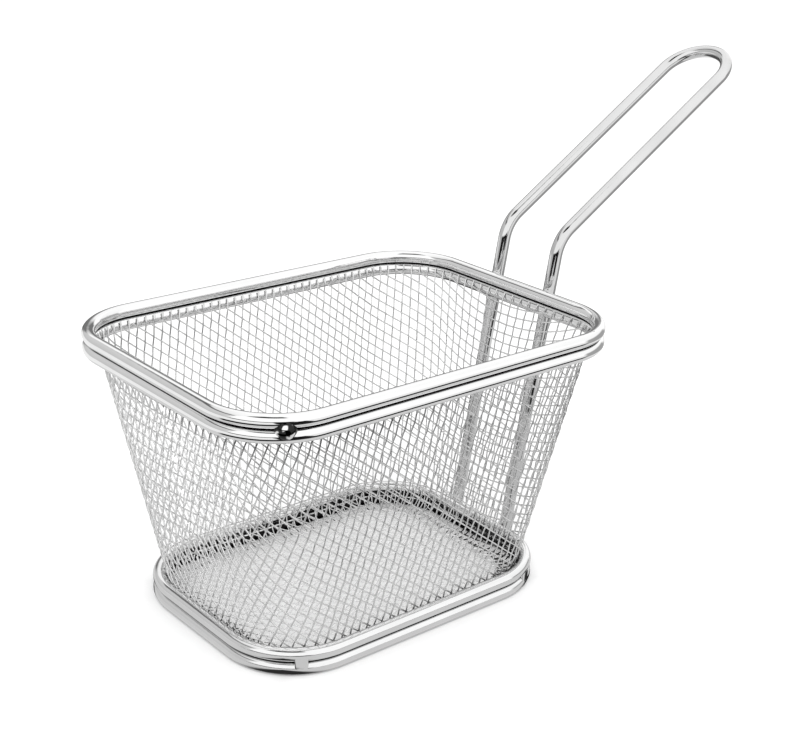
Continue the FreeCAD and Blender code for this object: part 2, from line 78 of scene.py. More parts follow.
# Woven cloth: the inset is from the rings' centre lines, and the wave is how far each wire swings over and
# under those that it crosses
CLOTH_WIRE = 0.45 * MM
CLOTH_WAVE = 0.12 * MM
CLOTH_PITCH = 2.9 * MM
CLOTH_INSET = WIRE / 2 + 0.55 * MM
FLOOR_LEVEL = 1.95 * MM
FLOOR_BEND = 4.65 * MM
FLOOR_WIRES = (math.radians(30), math.radians(-60))
HEM_TIP = math.radians(122)

# Painted shade in the groove between two wires: how near another wire must be, for how much open sky, and how
# dark
GROOVE_REACH = 0.8 * MM
GROOVE_OPEN = (0.30, 0.75)
GROOVE_SHADE = 0.04

# Faint dents of the drawn wire, satin of the cloth, and the weld metal: burnt and painted dark reflection,
# with painted glints
DENT_STRENGTH = 0.08
DENT_DEPTH = 0.4 * MM
CLOTH_ROUGHNESS = (0.12, 0.22)
WELD_GLINT_SPOTS = (0.52, 0.60)
WELD_DARK, WELD_GLINT = 0.03, 0.85
WELD_ROUGHNESS = 0.06

# Painted shade on the side of a base wire that faces the middle of the basket, by the cosine to the way out
INNER_FACE = (-0.10, -0.30)
INNER_FADE = 0.12

# Heights between which the painted shades at the cloth's foot and under the rim fade. The one under the rim
# also fades along X, towards the handle
FOOT_FADE = (4.5 * MM, 11 * MM)
UNDER_RIM_START = (66 * MM, 76.5 * MM)
UNDER_RIM_END = (79 * MM, 77.5 * MM)
UNDER_RIM_SIDE = (15 * MM, -25 * MM)

# The white floor, and the light that it adds for the camera only, so that the open floor comes out white, and
# less of it under the basket, which paints a shadow there
FLOOR_WHITE = (0.80, 0.80, 0.80, 1)
FLOOR_ROUGHNESS = 0.6
FLOOR_SPECULAR = 0.2
FLOOR_LIFT = 0.22
UNDER_BASKET_SHADOW_LIFT = 0.12

# Sides of the studio that polished wire mirrors, and the cosines between which each one fades in
DARK_SIDE, DARK_SPREAD = math.radians(215), (0.70, 0.80)
FRONT_SIDE, FRONT_SPREAD = math.radians(250), (0.93, 0.955)
LEFT_SIDE, LEFT_SPREAD = math.radians(115), (0.1, 0.7)
BACK_SIDE, BACK_SPREAD = math.radians(60), (0.86, 0.93)
RIGHT_SIDE, RIGHT_SPREAD = math.radians(345), (0.88, 0.94)

# Shades of the studio by height, from straight down at -1 to straight up at 1
TENT = ((-1, 0.9), (0.0, 0.9), (0.03, 1.2), (1, 1.2))
LEFT_SHADES = ((-1, 0.6), (0.0, 0.62), (0.55, 0.72), (0.60, 0.15), (0.66, 0.15), (0.72, 0.9), (1, 1.2))
RIGHT_SHADES = ((-1, 0.4), (0.10, 0.4), (0.25, 1.1), (1, 1.2))
DARK_SHADES = ((-1, 0.01), (0.08, 0.01), (0.14, 1.2), (0.84, 1.2), (0.88, 0.01), (0.975, 0.01), (0.99, 1.2),
               (1, 1.2))
BACK_SHADES = ((-1, 0.2), (0.30, 0.2), (0.46, 1.1), (1, 1.2))

# Painted shades that the floor shows to polished wire only, and where each one starts and ends, in metres
# from the middle of the basket. The grey near the basket is painted shade. The strip runs along X in front of
# it, so its edges are places along Y, and its left end along X
NEAR_FLOOR, FAR_FLOOR = 0.72, 0.98
FAR_FLOOR_START = (0.17, 0.20)
FRONT_SHADE, FRONT_START, FRONT_END = 0.01, (0.120, 0.135), (0.215, 0.195)
BEHIND_SHADE, BEHIND_START = 0.10, (0.085, 0.11)
STRIP_SHADE, STRIP_START, STRIP_END, STRIP_LEFT = 0.02, (-0.118, -0.128), (-0.230, -0.216), (-0.08, -0.04)
RIGHT_SHADE, RIGHT_START = 0.40, (0.20, 0.24)

# The floor under the basket, as a share of the base rings' size: the camera sees less lift there as a painted
# shadow, and polished wire sees a ring of painted shadow under the rings
BELOW_FADE = (1.0, 0.85)
RING_SHADE, RING_START, RING_END = 0.03, (0.78, 0.90), (1.04, 0.98)


# Nodes

class NodeTree:
    """A material's or the world's nodes. An input is given as a number or as another node's output."""

    def __init__(self, tree):
        self.nodes = tree.nodes
        self.links = tree.links
        self.place = self.node("TexCoord").outputs

    def node(self, kind, **settings):
        """A new node with its settings."""
        made = self.nodes.new("ShaderNode" + kind)
        for name, setting in settings.items():
            setattr(made, name, setting)
        return made

    def give(self, socket, given):
        """Set an input to a value, or link it to an output."""
        if isinstance(given, bpy.types.NodeSocket):
            self.links.new(given, socket)
        else:
            socket.default_value = given

    def number(self, operation, *inputs):
        """Result of a sum with numbers."""
        made = self.node("Math", operation=operation)
        for socket, given in zip(made.inputs, inputs):
            self.give(socket, given)
        return made.outputs["Value"]

    def product(self, first, *others):
        """Shades or shares multiplied together."""
        result = first
        for other in others:
            result = self.number("MULTIPLY", result, other)
        return result

    def vector(self, operation, *inputs, result="Vector"):
        """Result of a sum with vectors."""
        made = self.node("VectorMath", operation=operation)
        for socket, given in zip(made.inputs, inputs):
            self.give(socket, given)
        return made.outputs[result]

    def axes(self, vector):
        """The X, Y and Z parts of a vector."""
        made = self.node("SeparateXYZ")
        self.give(made.inputs["Vector"], vector)
        return made.outputs["X"], made.outputs["Y"], made.outputs["Z"]

    def noise(self, scale, detail):
        """Even noise over the piece, between 0 and 1."""
        made = self.node("TexNoise")
        self.give(made.inputs["Vector"], self.place["Object"])
        self.give(made.inputs["Scale"], scale)
        self.give(made.inputs["Detail"], detail)
        return made.outputs["Fac"]

    def spread(self, value, low, high):
        """A value between 0 and 1 spread over a range."""
        made = self.node("MapRange")
        self.give(made.inputs["Value"], value)
        self.give(made.inputs["To Min"], low)
        self.give(made.inputs["To Max"], high)
        return made.outputs["Result"]

    def ease(self, value, start, end):
        """Rise smoothly from 0 to 1 as a value goes from start to end."""
        made = self.node("MapRange", interpolation_type="SMOOTHSTEP")
        self.give(made.inputs["Value"], value)
        self.give(made.inputs["From Min"], start)
        self.give(made.inputs["From Max"], end)
        return made.outputs["Result"]

    def blend(self, share, first, second):
        """Mix of two shades: all of the first at a share of 0, and all of the second at 1."""
        made = self.node("Mix", data_type="FLOAT")
        for socket, given in ((made.inputs[0], share), (made.inputs[2], first), (made.inputs[3], second)):
            self.give(socket, given)
        return made.outputs[0]

    def distance(self, x, y):
        """Distance from the Z axis."""
        squares = self.number("ADD", self.number("MULTIPLY", x, x), self.number("MULTIPLY", y, y))
        return self.number("SQRT", squares)

    def toward(self, x, y, side):
        """Cosine of the turn about Z between a place and one side of the studio."""
        along = self.number("MULTIPLY", x, math.cos(side))
        across = self.number("MULTIPLY", y, math.sin(side))
        return self.number("DIVIDE", self.number("ADD", along, across), self.distance(x, y))

    def shades(self, height, stops):
        """Shade by height, from stops of height and shade."""
        made = self.node("ValToRGB")
        elements = made.color_ramp.elements
        ends = (stops[0], stops[-1])
        for element, (level, shade) in zip(elements, ends):
            element.position = (level + 1) / 2
            element.color = (shade, shade, shade, 1)
        for level, shade in stops[1:-1]:
            elements.new((level + 1) / 2).color = (shade, shade, shade, 1)
        self.give(made.inputs["Fac"], self.number("MULTIPLY_ADD", height, 0.5, 0.5))
        return made.outputs["Color"]


# Materials

def new_material(name, metallic):
    """A material with its nodes and its shader."""
    material = bpy.data.materials.new(name)
    material.use_nodes = True
    shader = material.node_tree.nodes["Principled BSDF"]
    shader.inputs["Metallic"].default_value = metallic
    return material, NodeTree(material.node_tree), shader


def inner_face(tree, top):
    """How far a wire faces the middle of the basket, from 0 to 1, and 0 where its normal rises above top: the
    share of painted shade.
    """
    normal = tree.node("NewGeometry").outputs["Normal"]
    way_out = tree.vector("NORMALIZE", tree.vector("MULTIPLY", tree.place["Object"], (1, 1, 0)))
    outward = tree.vector("DOT_PRODUCT", normal, way_out, result="Value")
    upward = tree.axes(normal)[2]
    return tree.product(tree.ease(outward, *INNER_FACE), tree.ease(upward, top, top - INNER_FADE))


def steel_wire(name, shade, roughness, inner_shadow=None):
    """Bright drawn stainless wire, a little duller in patches, faintly dented, and with painted shade in
    narrow grooves.

    The last argument gives the painted shade of the side that faces the middle of the basket, and how far up
    the wire it goes.
    """
    material, tree, shader = new_material(name, metallic=1.0)
    patches = tree.noise(scale=90, detail=3)
    # Painted shade: ambient occlusion darkens the tint in narrow grooves
    open_sky = tree.node("AmbientOcclusion", samples=8)
    tree.give(open_sky.inputs["Distance"], GROOVE_REACH)
    open_share = tree.ease(open_sky.outputs["AO"], *GROOVE_OPEN)
    tint = tree.blend(open_share, GROOVE_SHADE, tree.spread(patches, *shade))
    # Painted shade on the side that faces the middle of the basket
    if inner_shadow:
        inner_shade, inner_top = inner_shadow
        tint = tree.product(tint, tree.blend(inner_face(tree, inner_top), 1.0, inner_shade))
    tree.give(shader.inputs["Base Color"], tint)
    tree.give(shader.inputs["Roughness"], tree.spread(patches, *roughness))
    bump = tree.node("Bump")
    tree.give(bump.inputs["Strength"], DENT_STRENGTH)
    tree.give(bump.inputs["Distance"], DENT_DEPTH)
    tree.give(bump.inputs["Height"], tree.noise(scale=260, detail=2))
    tree.give(shader.inputs["Normal"], bump.outputs["Normal"])
    return material


def weld_metal():
    """Burnt dark weld metal, partly painted dark reflection, with a few bright spots of painted glint."""
    material, tree, shader = new_material("weld_metal", metallic=1.0)
    # Painted glints: bright spots in the dark weld metal
    bright = tree.ease(tree.noise(scale=420, detail=1), *WELD_GLINT_SPOTS)
    tree.give(shader.inputs["Base Color"], tree.blend(bright, WELD_DARK, WELD_GLINT))
    tree.give(shader.inputs["Roughness"], WELD_ROUGHNESS)
    return material


def cloth_wire(name, shade, foot_shade=1.0, rim_shade=1.0):
    """Fine bright wire of the cloth, slightly satin, with painted shade in the bend at its foot and under the
    rim.
    """
    material, tree, shader = new_material(name, metallic=1.0)
    patches = tree.noise(scale=400, detail=2)
    x, _, height = tree.axes(tree.place["Object"])
    under_rim_shadow = tree.product(
        tree.ease(height, *UNDER_RIM_START), tree.ease(height, *UNDER_RIM_END), tree.ease(x, *UNDER_RIM_SIDE))
    foot = tree.blend(tree.ease(height, *FOOT_FADE), foot_shade, 1.0)
    rim = tree.blend(under_rim_shadow, 1.0, rim_shade)
    tree.give(shader.inputs["Base Color"], tree.product(tree.spread(patches, *shade), foot, rim))
    tree.give(shader.inputs["Roughness"], tree.spread(patches, *CLOTH_ROUGHNESS))
    return material


# Pieces

def finish_piece(piece, material, node):
    """Give a piece its finish and let it ride with the basket in place of a plain solid."""
    piece.data.materials.clear()
    piece.data.materials.append(material)
    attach(piece, "root")
    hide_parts(node)


def mesh_piece(name, bm):
    """A smooth piece from a bmesh, linked to the scene."""
    bmesh.ops.recalc_face_normals(bm, faces=bm.faces)
    data = bpy.data.meshes.new(name)
    bm.to_mesh(data)
    bm.free()
    for face in data.polygons:
        face.use_smooth = True
    piece = bpy.data.objects.new(name, data)
    bpy.context.scene.collection.objects.link(piece)
    return piece


def wire_section(bm, place, along):
    """A round section of wire at a place, square to its direction."""
    turn = along.to_track_quat("Z", "Y").to_matrix().to_4x4()
    made = bmesh.ops.create_circle(
        bm, cap_ends=False, radius=WIRE / 2, segments=ROUND_SIDES,
        matrix=Matrix.Translation(place) @ turn)
    edges = {edge for vertex in made["verts"] for edge in vertex.link_edges}
    return list(made["verts"]) + list(edges)


def run_straight(bm, section, step):
    """Draw the wire on by one straight run."""
    edges = [part for part in section if isinstance(part, bmesh.types.BMEdge)]
    made = bmesh.ops.extrude_edge_only(bm, edges=edges)["geom"]
    verts = [part for part in made if isinstance(part, bmesh.types.BMVert)]
    bmesh.ops.translate(bm, verts=verts, vec=step)
    ring = {edge for vertex in verts for edge in vertex.link_edges
            if edge.other_vert(vertex) in verts}
    return verts + list(ring)


def run_bend(bm, section, centre, axis, angle, steps):
    """Bend the wire about a centre."""
    return bmesh.ops.spin(
        bm, geom=section, cent=centre, axis=axis, angle=angle, steps=steps,
        use_duplicate=False)["geom_last"]


def wire_ring(name, node, outline, height, finish):
    """A closed rounded rectangle of wire at a height."""
    length, width, corner = outline
    along, across = length / 2 - corner, width / 2 - corner
    centres = [(along, across), (-along, across), (-along, -across), (along, -across)]
    bm = bmesh.new()
    section = wire_section(bm, Vector((length / 2, across, height)), Vector((0, 1, 0)))
    for (x, y), (next_x, next_y) in zip(centres, centres[1:] + centres[:1]):
        section = run_bend(bm, section, (x, y, height), (0, 0, 1), math.pi / 2, CORNER_STEPS)
        section = run_straight(bm, section, Vector((next_x - x, next_y - y, 0)))
    bmesh.ops.remove_doubles(bm, verts=bm.verts, dist=1e-6)
    finish_piece(mesh_piece(name, bm), finish, node)


def groove_place(outline, turn, height):
    """A point on a ring's centre line at one turn about a corner's centre, and the way out from there."""
    length, width, corner = outline
    way = Vector((math.cos(turn), math.sin(turn), 0))
    x = math.copysign(length / 2 - corner, way.x)
    y = math.copysign(width / 2 - corner, way.y)
    return Vector((x, y, height)) + way * corner, way


def round_bead(finish):
    """The outer half of a ball of weld metal over both rim rings."""
    place, way = groove_place(RIM, math.radians(RIM_BEAD_TURN), (RIM_HIGH + RIM_LOW) / 2)
    bm = bmesh.new()
    bmesh.ops.create_uvsphere(
        bm, u_segments=48, v_segments=32, radius=RIM_BEAD, matrix=Matrix.Translation(place))
    cut = bmesh.ops.bisect_plane(
        bm, geom=bm.verts[:] + bm.edges[:] + bm.faces[:], plane_co=place, plane_no=way, clear_inner=True)
    rim = [part for part in cut["geom_cut"] if isinstance(part, bmesh.types.BMEdge)]
    bmesh.ops.edgenet_fill(bm, edges=rim)
    finish_piece(mesh_piece("rim_weld", bm), finish, "upper_rim_ring")


def flush_bead(name, turn, finish):
    """Weld metal that fills the groove between both base rings, dressed flush with them."""
    place, way = groove_place(BASE, turn, (BASE_HIGH + BASE_LOW) / 2)
    size = Matrix.Diagonal((BASE_FILL, BASE_BEAD, WIRE + SEAT, 1))
    bm = bmesh.new()
    bmesh.ops.create_cube(
        bm, size=1,
        matrix=Matrix.Translation(place + way * BASE_FILL / 2) @ Matrix.Rotation(turn, 4, "Z") @ size)
    bmesh.ops.bevel(
        bm, geom=bm.edges[:], offset=BASE_BEAD_BEVEL, offset_type="OFFSET", segments=4, affect="EDGES",
        profile=0.5, material=-1)
    finish_piece(mesh_piece(name, bm), finish, "upper_base_ring")


def wire_handle(finish):
    """One wire: leg, bend, arm, rounded end, and back the same way on the other side."""
    slope = (RIM_LENGTH - BASE_LENGTH) / 2 / (RIM_HIGH - BASE_HIGH)
    out = (WIRE + SEAT) * math.hypot(1, slope)
    leg_way = Vector((slope, 0, 1)).normalized()
    arm_way = Vector((math.cos(ARM_ANGLE), 0, math.sin(ARM_ANGLE)))
    bend_turn = math.atan2(1, slope) - ARM_ANGLE

    def leg_point(height):
        return Vector((BASE_LENGTH / 2 + out + slope * (height - BASE_HIGH), -LEG_SPACING / 2, height))

    foot = leg_point(LEG_FOOT)
    top = leg_point(RIM_HIGH + RISER)
    bend_centre = top + Vector((leg_way.z, 0, -leg_way.x)) * BEND_RADIUS
    arm_start = bend_centre + Vector((-arm_way.z, 0, arm_way.x)) * BEND_RADIUS
    arm_end = arm_start + arm_way * ARM_LENGTH
    end_centre = Vector((arm_end.x, 0, arm_end.z))
    other_centre = Vector((bend_centre.x, LEG_SPACING / 2, bend_centre.z))

    bm = bmesh.new()
    section = wire_section(bm, foot, leg_way)
    section = run_straight(bm, section, top - foot)
    section = run_bend(bm, section, bend_centre, (0, 1, 0), bend_turn, BEND_STEPS)
    section = run_straight(bm, section, arm_way * ARM_LENGTH)
    section = run_bend(bm, section, end_centre, arm_way.cross(Vector((0, 1, 0))), math.pi, END_STEPS)
    section = run_straight(bm, section, -arm_way * ARM_LENGTH)
    section = run_bend(bm, section, other_centre, (0, -1, 0), bend_turn, BEND_STEPS)
    run_straight(bm, section, foot - top)
    rims = [edge for edge in bm.edges if edge.is_boundary]
    bmesh.ops.holes_fill(bm, edges=rims, sides=0)
    bmesh.ops.recalc_face_normals(bm, faces=bm.faces)
    bmesh.ops.bevel(
        bm, geom=rims, offset=FOOT_BEVEL, offset_type="OFFSET", segments=3, affect="EDGES",
        profile=0.5, material=-1)
    finish_piece(mesh_piece("handle_wire", bm), finish, "handle")


# Woven cloth
# One half of the wall is unrolled, and the other half mirrors it. along runs from 0 in the middle of the
# handle's wall to 5 in the middle of the far short wall: half a short wall, a corner, the long wall, a
# corner, half a short wall. climb is the height up the wall. Below the wall it runs on round the bend to the
# floor, and above it over the lower rim ring from the inside.

SLOPE_X = (RIM_LENGTH - BASE_LENGTH) / 2 / (RIM_LOW - BASE_HIGH)
SLOPE_Y = (RIM_WIDTH - BASE_WIDTH) / 2 / (RIM_LOW - BASE_HIGH)
SLOPE_CORNER = (RIM_CORNER - BASE_CORNER) / (RIM_LOW - BASE_HIGH)
SLOPE = (SLOPE_X + SLOPE_Y) / 2
LEAN = math.atan(SLOPE)
SLANT = math.hypot(1, SLOPE)
BEND_TOP = FLOOR_LEVEL + FLOOR_BEND * (1 - math.sin(LEAN))
BEND_START = BEND_TOP - FLOOR_BEND * (math.pi / 2 - LEAN) / SLANT
HEM_FOOT = RIM_LOW + CLOTH_INSET * math.sin(LEAN)
HEM_TOP = HEM_FOOT + CLOTH_INSET * (math.pi - LEAN - HEM_TIP)
FLOOR_LAP = 1.2 * MM
MIDDLE = (BEND_TOP + HEM_FOOT) / 2

# Wires per metre along and up each wall, for the steep and the sloping family. They were counted by the
# millimetre on a basket that was 2.56 % smaller. The fan is how the handle wall's wires spread and bow
# towards its corners
STEEP, SLOPING = 0, 1
PER_MM = 1000 / 1.0256
HANDLE_WALL = ((0.352 * PER_MM, 0.0), (0.0, 0.345 * PER_MM))
LONG_WALL = ((0.352 * PER_MM, 0.070 * PER_MM), (-0.230 * PER_MM, 0.292 * PER_MM))
FAR_WALL = ((0.310 * PER_MM, 0.196 * PER_MM), (-0.310 * PER_MM, 0.196 * PER_MM))
FAN = (-0.045 * PER_MM, -0.110 * PER_MM)

# Steps between the points of a wire: up the wall, along each part of the half wall, and over the floor
CLIMB_STEP = 0.9 * MM
ALONG_STEPS = (0.039, 0.028, 0.0118, 0.028, 0.039)
FLOOR_STEP = 0.95 * MM
FEWEST_POINTS = 3

# How many places along the half wall, and heights up it, the waves are worked out at
GRID_PLACES, GRID_HEIGHTS = 501, 160


def section_of(climb):
    """Height, inset from the line through the ring centres, and tilt of the cloth."""
    climb = np.asarray(climb, float)
    z = climb.copy()
    inset = np.full_like(climb, CLOTH_INSET * SLANT)
    tilt = np.full_like(climb, math.pi / 2 - LEAN)
    hem = climb > HEM_FOOT
    turn = math.pi - LEAN - (climb - HEM_FOOT) / CLOTH_INSET
    z = np.where(hem, RIM_LOW + CLOTH_INSET * np.sin(turn), z)
    inset = np.where(hem, SLOPE * (z - RIM_LOW) - CLOTH_INSET * np.cos(turn), inset)
    tilt = np.where(hem, turn - math.pi / 2, tilt)
    bend = climb < BEND_TOP
    turn = np.maximum(math.pi / 2 - LEAN - (BEND_TOP - climb) * SLANT / FLOOR_BEND, 0)
    z = np.where(bend, FLOOR_LEVEL + FLOOR_BEND * (1 - np.cos(turn)), z)
    drawn_in = FLOOR_BEND * (math.cos(LEAN) - np.sin(turn)) + np.maximum(BEND_START - climb, 0)
    inset = np.where(bend, CLOTH_INSET * SLANT + SLOPE * (z - BEND_TOP) + drawn_in, inset)
    tilt = np.where(bend, turn, tilt)
    return z, inset, tilt


def outline_at(z, inset):
    """Half length, half width and corner radius of the cloth's outline."""
    rise = z - BASE_HIGH
    half_x = BASE_LENGTH / 2 + SLOPE_X * rise - inset
    half_y = BASE_WIDTH / 2 + SLOPE_Y * rise - inset
    corner = BASE_CORNER + SLOPE_CORNER * rise - inset
    return half_x, half_y, corner


def cloth_points(along, climb, off):
    """Points of the cloth, moved out of it by off, as an array of rows."""
    z, inset, tilt = section_of(climb)
    half_x, half_y, corner = outline_at(z, inset)
    flat_x, flat_y = half_x - corner, half_y - corner
    turn = (np.clip(along - 1, 0, 1) + np.clip(along - 3, 0, 1)) * math.pi / 2
    x = flat_x * (1 - 2 * np.clip(along - 2, 0, 1)) + corner * np.cos(turn)
    y = flat_y * (np.clip(along, 0, 1) - np.clip(along - 4, 0, 1)) + corner * np.sin(turn)
    out = off * np.sin(tilt)
    return np.stack([x + out * np.cos(turn), y + out * np.sin(turn), z - off * np.cos(tilt)], axis=-1)


def wall_waves(family):
    """How many wires of a family lie before each place on the half wall, on a grid of along and climb."""
    along = np.linspace(0, 5, GRID_PLACES)[:, None]
    climb = np.linspace(BEND_START - FLOOR_LAP, HEM_TOP, GRID_HEIGHTS)[None, :]
    z, inset, _ = section_of(climb)
    half_x, half_y, corner = outline_at(z, inset)
    flat_x, flat_y = half_x - corner, half_y - corner
    arc = corner * math.pi / 2
    up = climb - MIDDLE
    handle_x, handle_up = HANDLE_WALL[family]
    long_x, long_up = LONG_WALL[family]
    far_x, far_up = FAR_WALL[family]
    fan = FAN[family]
    middle = np.argmin(np.abs(climb[0] - MIDDLE))
    reach = flat_y[0, middle]

    def handle_wall(place):
        """Waves of the handle's wall, which fans or bows out from its middle."""
        bow = fan * place * up / reach if family == STEEP else fan * place * place / reach / 2
        return handle_x * place + handle_up * up + bow

    def round_corner(share, start, start_slope, end, end_slope):
        """Waves that turn smoothly from one wall's slope to the next."""
        square, cube = share * share, share ** 3
        return (start * (2 * cube - 3 * square + 1) + start_slope * arc * (cube - 2 * square + share)
                + end * (3 * square - 2 * cube) + end_slope * arc * (cube - square))

    def level_after(before, before_slope, after, after_slope):
        """The constant that makes the waves run on through a corner at mid-height."""
        mean = (before_slope + after_slope) / 2 * np.ones_like(before)
        return (before + mean * arc - after)[0, middle]

    handle_end = handle_wall(flat_y)
    handle_slope = handle_x + fan * (up if family == STEEP else flat_y) / reach
    long_start = -long_x * flat_x + long_up * up
    long_level = level_after(handle_end, handle_slope, long_start, long_x)
    long_end = long_level + long_x * flat_x + long_up * up
    far_start = -far_x * flat_y + far_up * up
    far_level = level_after(long_end, long_x, far_start, far_x)
    waves = np.select(
        [along <= 1, along <= 2, along <= 3, along <= 4],
        [handle_wall(np.clip(along, 0, 1) * flat_y),
         round_corner(along - 1, handle_end, handle_slope, long_start + long_level, long_x),
         long_level + long_x * (2 * along - 5) * flat_x + long_up * up,
         round_corner(along - 3, long_end, long_x, far_start + far_level, far_x)],
        far_level + far_x * (along - 5) * flat_y + far_up * up)
    return along[:, 0], climb[0], waves


def grid_value(along, climb, grid, place, height):
    """Value of a grid at one place and height, between its four neighbours."""
    column = min(int((place - along[0]) / (along[1] - along[0])), len(along) - 2)
    row = min(int((height - climb[0]) / (climb[1] - climb[0])), len(climb) - 2)
    past = (place - along[column]) / (along[1] - along[0])
    above = (height - climb[row]) / (climb[1] - climb[0])
    before = (1 - above) * grid[column, row] + above * grid[column, row + 1]
    after = (1 - above) * grid[column + 1, row] + above * grid[column + 1, row + 1]
    return (1 - past) * before + past * after


def wall_wires():
    """The half wall's wires, steep and then sloping: rows of along, climb and how far each one swings out."""
    along, climb, steep = wall_waves(STEEP)
    sloping = wall_waves(SLOPING)[2]
    steep += 0.5
    seam = np.argmin(np.abs(climb - MIDDLE))
    sloping += (steep[-1, seam] - sloping[-1, seam]) % 1

    def whole_numbers(waves):
        return range(math.ceil(waves.min()), math.floor(waves.max()) + 1)

    def woven(places, heights, crossing, count, swing):
        """A wire with its swing over and under the wires that it crosses."""
        phase = np.array([grid_value(along, climb, crossing, *point) for point in zip(places, heights)])
        return places, heights, swing * np.cos(math.pi * (phase + count))

    fine_climb = np.arange(climb[0], climb[-1], CLIMB_STEP)
    steep_levels = np.array([np.interp(fine_climb, climb, column) for column in steep]).T
    steep_wires = []
    for count in whole_numbers(steep):
        places = np.array([np.interp(count, level, along, left=-1, right=-1) for level in steep_levels])
        keep = places >= 0
        if keep.sum() >= FEWEST_POINTS:
            steep_wires.append(woven(places[keep], fine_climb[keep], sloping, count, CLOTH_WAVE))

    fine_along = np.concatenate([np.arange(part, part + 1, step) for part, step in enumerate(ALONG_STEPS)])
    sloping_columns = np.array([np.interp(fine_along, along, level) for level in sloping.T]).T
    sloping_wires = []
    for count in whole_numbers(sloping):
        heights = np.array([np.interp(count, column, climb, left=-1, right=-1) for column in sloping_columns])
        keep = (heights > -1) & (heights < HEM_FOOT)
        if keep.sum() >= FEWEST_POINTS:
            sloping_wires.append(woven(fine_along[keep], heights[keep], steep, count, -CLOTH_WAVE))
    return steep_wires, sloping_wires


def floor_lines(angle, other, swing):
    """Wires of the floor at an angle, over and under those at the other angle."""
    z, inset, _ = section_of(np.array([BEND_START - FLOOR_LAP / 3]))
    half_x, half_y, corner = [float(size[0]) for size in outline_at(z, inset)]
    way = np.array([math.cos(angle), math.sin(angle)])
    side = np.array([-way[1], way[0]])
    other_side = np.array([-math.sin(other), math.cos(other)])
    steps = np.arange(-half_x - half_y, half_x + half_y, FLOOR_STEP)
    lines = []
    reach = int((half_x + half_y) / CLOTH_PITCH)
    for count in range(-reach, reach + 1):
        points = side * count * CLOTH_PITCH + way * steps[:, None]
        past_x = np.abs(points[:, 0]) - (half_x - corner)
        past_y = np.abs(points[:, 1]) - (half_y - corner)
        inside = (np.abs(points[:, 0]) < half_x) & (np.abs(points[:, 1]) < half_y)
        inside &= (past_x < 0) | (past_y < 0) | (np.hypot(past_x, past_y) < corner)
        if inside.sum() >= FEWEST_POINTS:
            kept = points[inside]
            weave = swing * np.cos(math.pi * (kept @ other_side / CLOTH_PITCH + count))
            lines.append(np.column_stack([kept, FLOOR_LEVEL + weave]))
    return lines


def wires_piece(name, lines, finish):
    """One piece of many fine wires that follow lines of points."""
    data = bpy.data.curves.new(name, "CURVE")
    data.dimensions = "3D"
    data.bevel_depth = CLOTH_WIRE / 2
    data.bevel_resolution = 1
    data.use_fill_caps = True
    for points in lines:
        spline = data.splines.new("POLY")
        spline.points.add(len(points) - 1)
        spline.points.foreach_set("co", np.column_stack([points, np.ones(len(points))]).ravel())
        spline.use_smooth = True
    piece = bpy.data.objects.new(name, data)
    bpy.context.scene.collection.objects.link(piece)
    finish_piece(piece, finish, "mesh_basket")


def woven_basket(steep_finishes, sloping_finishes, floor_finish):
    """Both families of wires on the back and the front half of the wall, and both on the floor."""
    steep_wires, sloping_wires = wall_wires()
    families = (
        ("steep_wires", steep_wires, steep_finishes),
        ("sloping_wires", sloping_wires, sloping_finishes))
    for name, wires, finishes in families:
        for half, side, finish in zip(("back", "front"), (1, -1), finishes):
            lines = []
            for along, climb, off in wires:
                points = cloth_points(along, climb, off * side)
                points[:, 1] *= side
                lines.append(points)
            wires_piece(f"{name}_{half}", lines, finish)
    first, second = FLOOR_WIRES
    wires_piece("floor_wires_along", floor_lines(first, second, CLOTH_WAVE), floor_finish)
    wires_piece("floor_wires_across", floor_lines(second, first, -CLOTH_WAVE), floor_finish)


# Stage

def mirrored_floor(tree, x, y, past):
    """Painted shade that polished wire sees on the floor: grey near the basket, white farther out, dark in
    some places.
    """
    distance = tree.distance(x, y)
    front = tree.number(
        "MAXIMUM",
        tree.product(tree.ease(tree.toward(x, y, DARK_SIDE), *DARK_SPREAD), tree.ease(distance, *FRONT_END)),
        tree.ease(tree.toward(x, y, FRONT_SIDE), *FRONT_SPREAD))
    front = tree.product(front, tree.ease(distance, *FRONT_START))
    behind = tree.product(
        tree.ease(tree.toward(x, y, BACK_SIDE), *BACK_SPREAD), tree.ease(distance, *BEHIND_START))
    strip = tree.product(tree.ease(y, *STRIP_START), tree.ease(y, *STRIP_END), tree.ease(x, *STRIP_LEFT))
    # Painted shadow under the base rings
    ring_shadow = tree.product(tree.ease(past, *RING_END), tree.ease(past, *RING_START))
    right = tree.product(
        tree.ease(tree.toward(x, y, RIGHT_SIDE), *RIGHT_SPREAD), tree.ease(distance, *RIGHT_START))
    shade = tree.blend(tree.ease(distance, *FAR_FLOOR_START), NEAR_FLOOR, FAR_FLOOR)
    places = (
        (front, FRONT_SHADE), (behind, BEHIND_SHADE), (strip, STRIP_SHADE), (ring_shadow, RING_SHADE),
        (right, RIGHT_SHADE))
    for share, place_shade in places:
        shade = tree.blend(share, shade, place_shade)
    return shade


